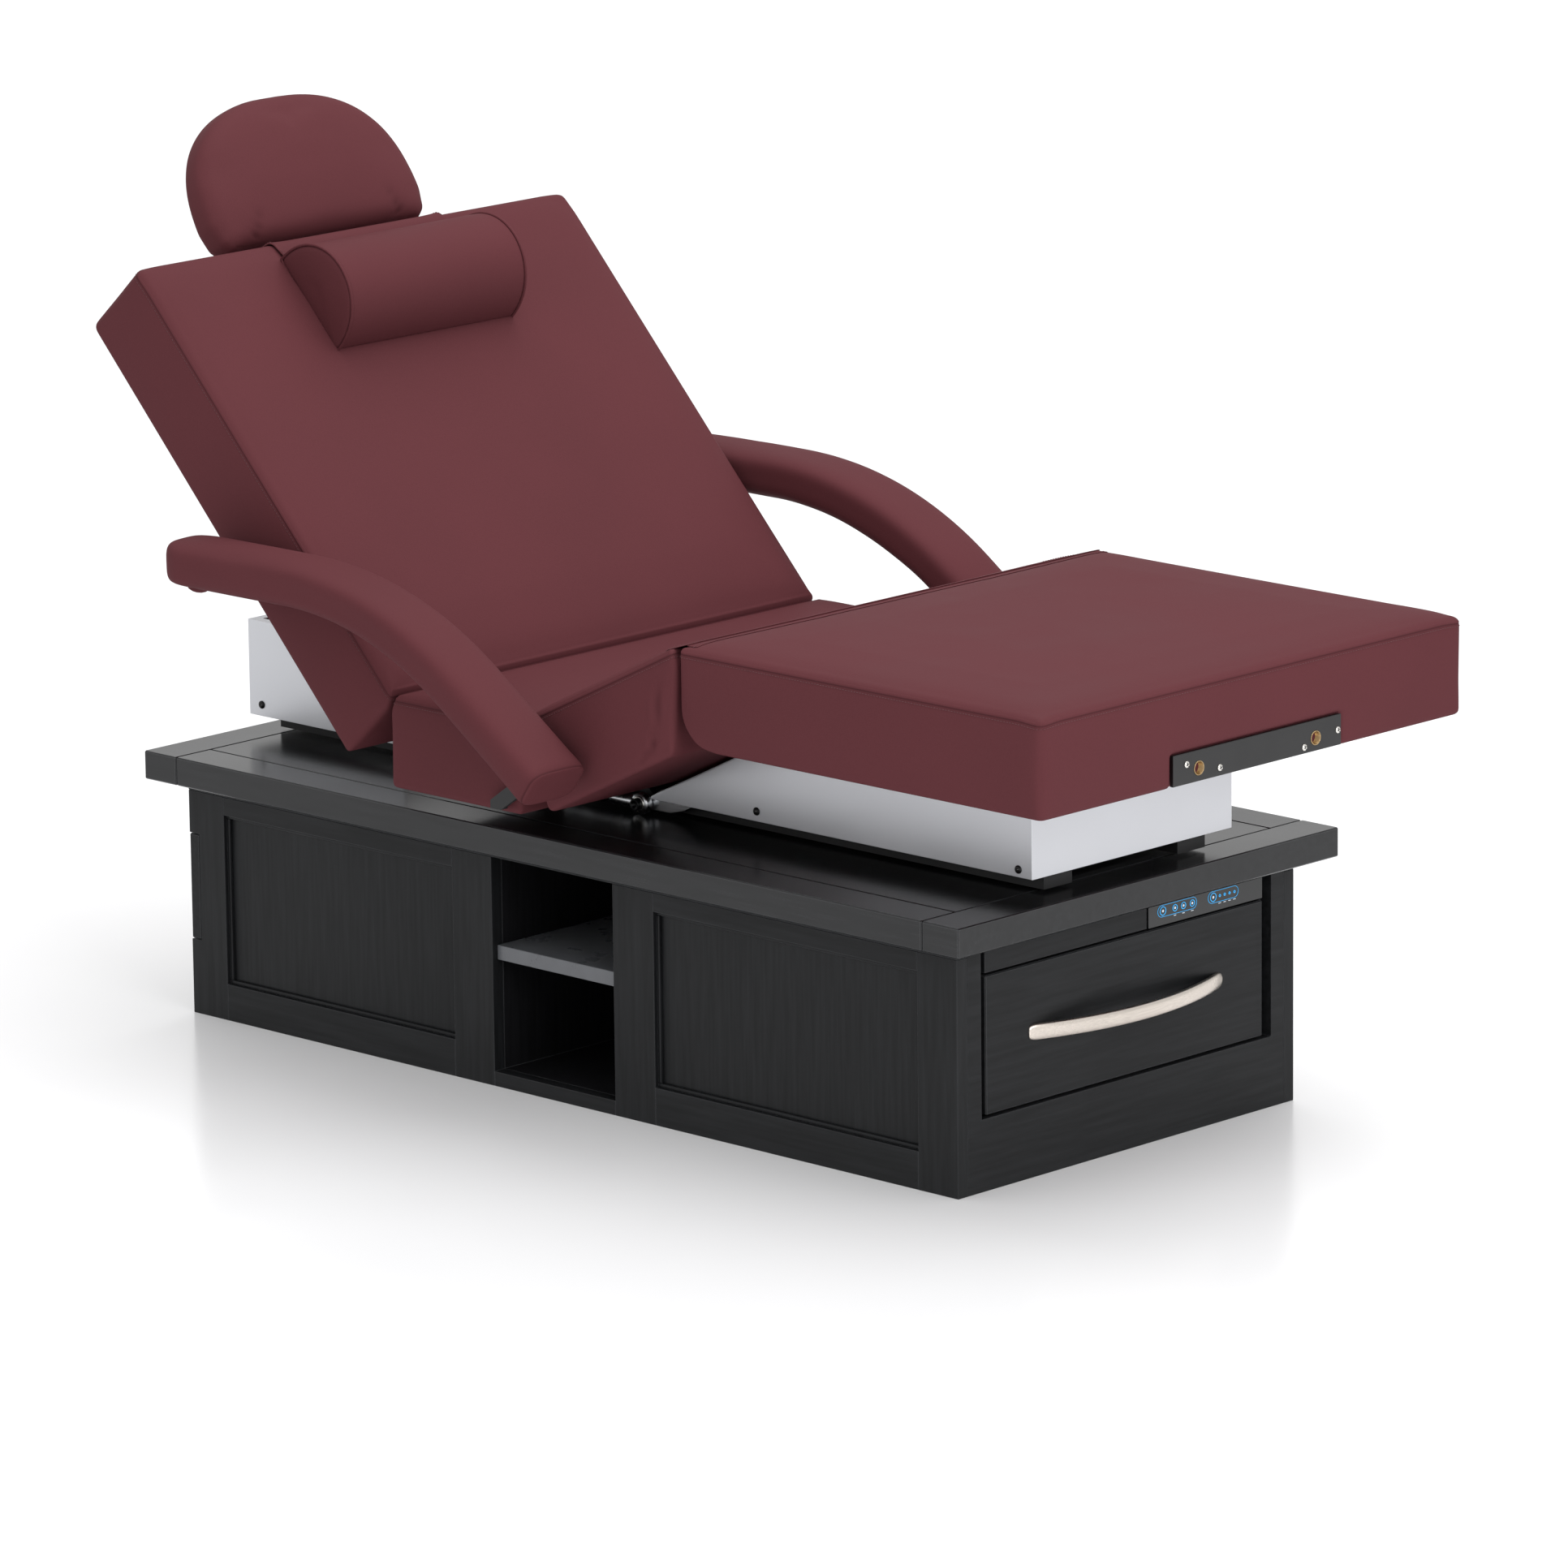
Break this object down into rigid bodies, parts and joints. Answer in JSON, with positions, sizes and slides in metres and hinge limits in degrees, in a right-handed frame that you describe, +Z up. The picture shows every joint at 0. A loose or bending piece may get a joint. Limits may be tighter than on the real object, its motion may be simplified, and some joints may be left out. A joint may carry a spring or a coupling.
{
  "type": "spa treatment table",
  "caption": "Electric-lift spa table: cushioned chair top in four sections with armrests, headrest and bolster, on a panelled black cabinet with a towel niche and a drawer at each end.",
  "frame": {"origin": "on the floor, under the middle of the cabinet", "axes": "+X towards the foot end, +Y towards the far side, +Z up"},
  "size_m": [1.7159, 0.976, 1.1442],
  "materials": {
    "black_lacquer": "satin black lacquer on wood boards",
    "black_board": "matt black laminated board",
    "shelf": "grey semi-gloss shelf",
    "touch_panel": "black touch glass with lit blue marks",
    "dark_frame": "dark powder coat",
    "aluminium": "satin anodised",
    "skirt_metal": "smooth silver-grey coat",
    "upholstery": "matt burgundy vinyl with fine grain",
    "plywood": "clear-coated plywood",
    "socket_plate": "gloss black",
    "zinc_steel": "bright zinc",
    "satin_nickel": "satin nickel"
  },
  "bodies": {
    "cabinet": {"floor_board": "black_board", "side_frame_near": "black_lacquer", "side_frame_far": "black_lacquer", "side_panel_near_head": "black_lacquer", "side_panel_near_foot": "black_lacquer", "side_panel_far": "black_lacquer", "niche_box": "black_board", "niche_shelf": "shelf", "head_end_frame": "black_lacquer", "foot_end_frame": "black_lacquer", "control_strip": "black_lacquer", "touch_panel": "touch_panel", "top_board_head": "black_lacquer", "top_board_foot": "black_lacquer", "top_board_near": "black_lacquer", "top_board_far": "black_lacquer", "top_centre_panel": "black_lacquer", "control_box": "dark_frame", "column_outer_head": "dark_frame", "column_outer_foot": "dark_frame"},
    "column_middle": {"column_middle_head": "aluminium", "column_middle_foot": "aluminium"},
    "lifting_top": {"column_inner_head": "aluminium", "column_inner_foot": "aluminium", "lift_chassis": "dark_frame", "skirt_head": "skirt_metal", "skirt_foot": "skirt_metal", "leg_pad": "upholstery", "leg_deck": "plywood", "leg_frame": "dark_frame", "foot_socket_plate": "socket_plate", "actuator_body": "dark_frame"},
    "thigh": {"thigh_pad": "upholstery", "thigh_deck": "plywood", "thigh_frame": "dark_frame"},
    "seat": {"seat_pad": "upholstery", "seat_deck": "plywood", "seat_frame": "dark_frame"},
    "back": {"back_pad": "upholstery", "back_deck": "plywood", "back_frame": "dark_frame", "neck_bolster": "upholstery"},
    "links": {"parallel_link_near": "zinc_steel", "parallel_link_far": "zinc_steel"},
    "actuator_rod": {"actuator_rod": "zinc_steel"},
    "arm_near": {"arm_pad_near": "upholstery", "arm_core_near": "dark_frame"},
    "arm_far": {"arm_pad_far": "upholstery", "arm_core_far": "dark_frame"},
    "headrest_carriage": {"headrest_rods": "zinc_steel"},
    "headrest": {"headrest_board": "plywood", "headrest_pad": "upholstery"},
    "foot_drawer": {"foot_drawer_front": "black_lacquer", "foot_drawer_box": "black_board", "foot_drawer_handle": "satin_nickel", "warmer_plate": "aluminium"},
    "head_drawer": {"head_drawer_front": "black_lacquer", "head_drawer_box": "black_board"}
  },
  "joints": [
    {"name": "lift", "type": "slide", "parent": "cabinet", "child": "lifting_top", "axis": [0, 0, 1], "range_m": [0, 0.305]},
    {"name": "column_extend", "type": "slide", "parent": "cabinet", "child": "column_middle", "axis": [0, 0, 1], "range_m": [0, 0.1525]},
    {"name": "recline", "type": "hinge", "parent": "lifting_top", "child": "thigh", "pos_m": [0.285, 0, 0.609], "axis": [0, 1, 0], "range_deg": [0, 26]},
    {"name": "seat_level", "type": "hinge", "parent": "thigh", "child": "seat", "pos_m": [0.01626, 0, 0.47793], "axis": [0, 1, 0], "range_deg": [-26, 0]},
    {"name": "back_fold", "type": "hinge", "parent": "seat", "child": "back", "pos_m": [-0.21774, 0, 0.47793], "axis": [0, 1, 0], "range_deg": [-47, 0]},
    {"name": "link_swing", "type": "hinge", "parent": "lifting_top", "child": "links", "pos_m": [0.285, 0, 0.491], "axis": [0, 1, 0], "range_deg": [0, 26]},
    {"name": "actuator_stroke", "type": "slide", "parent": "lifting_top", "child": "actuator_rod", "axis": [-1, 0, 0], "range_m": [0, 0.072]},
    {"name": "arm_near_swing", "type": "hinge", "parent": "seat", "child": "arm_near", "pos_m": [0.095, -0.4, 0.47], "axis": [0, 1, 0], "range_deg": [-35, 0]},
    {"name": "arm_far_swing", "type": "hinge", "parent": "seat", "child": "arm_far", "pos_m": [0.095, 0.4, 0.47], "axis": [0, 1, 0], "range_deg": [-35, 0]},
    {"name": "headrest_slide", "type": "slide", "parent": "back", "child": "headrest_carriage", "axis": [-0.682, 0, 0.7314], "range_m": [0, 0.12]},
    {"name": "headrest_tilt", "type": "hinge", "parent": "headrest_carriage", "child": "headrest", "pos_m": [-0.74702, 0, 0.92235], "axis": [0, 1, 0], "range_deg": [-30, 12]},
    {"name": "foot_drawer_slide", "type": "slide", "parent": "cabinet", "child": "foot_drawer", "axis": [1, 0, 0], "range_m": [0, 0.24]},
    {"name": "head_drawer_slide", "type": "slide", "parent": "cabinet", "child": "head_drawer", "axis": [-1, 0, 0], "range_m": [0, 0.17]}
  ],
  "couplings": [
    {"joint": "column_extend", "follows": "lift", "ratio": 0.5},
    {"joint": "seat_level", "follows": "recline", "ratio": -1},
    {"joint": "back_fold", "follows": "recline", "ratio": -1.8076},
    {"joint": "link_swing", "follows": "recline", "ratio": 1},
    {"joint": "actuator_stroke", "follows": "recline", "m_per_rad": 0.15863}
  ]
}
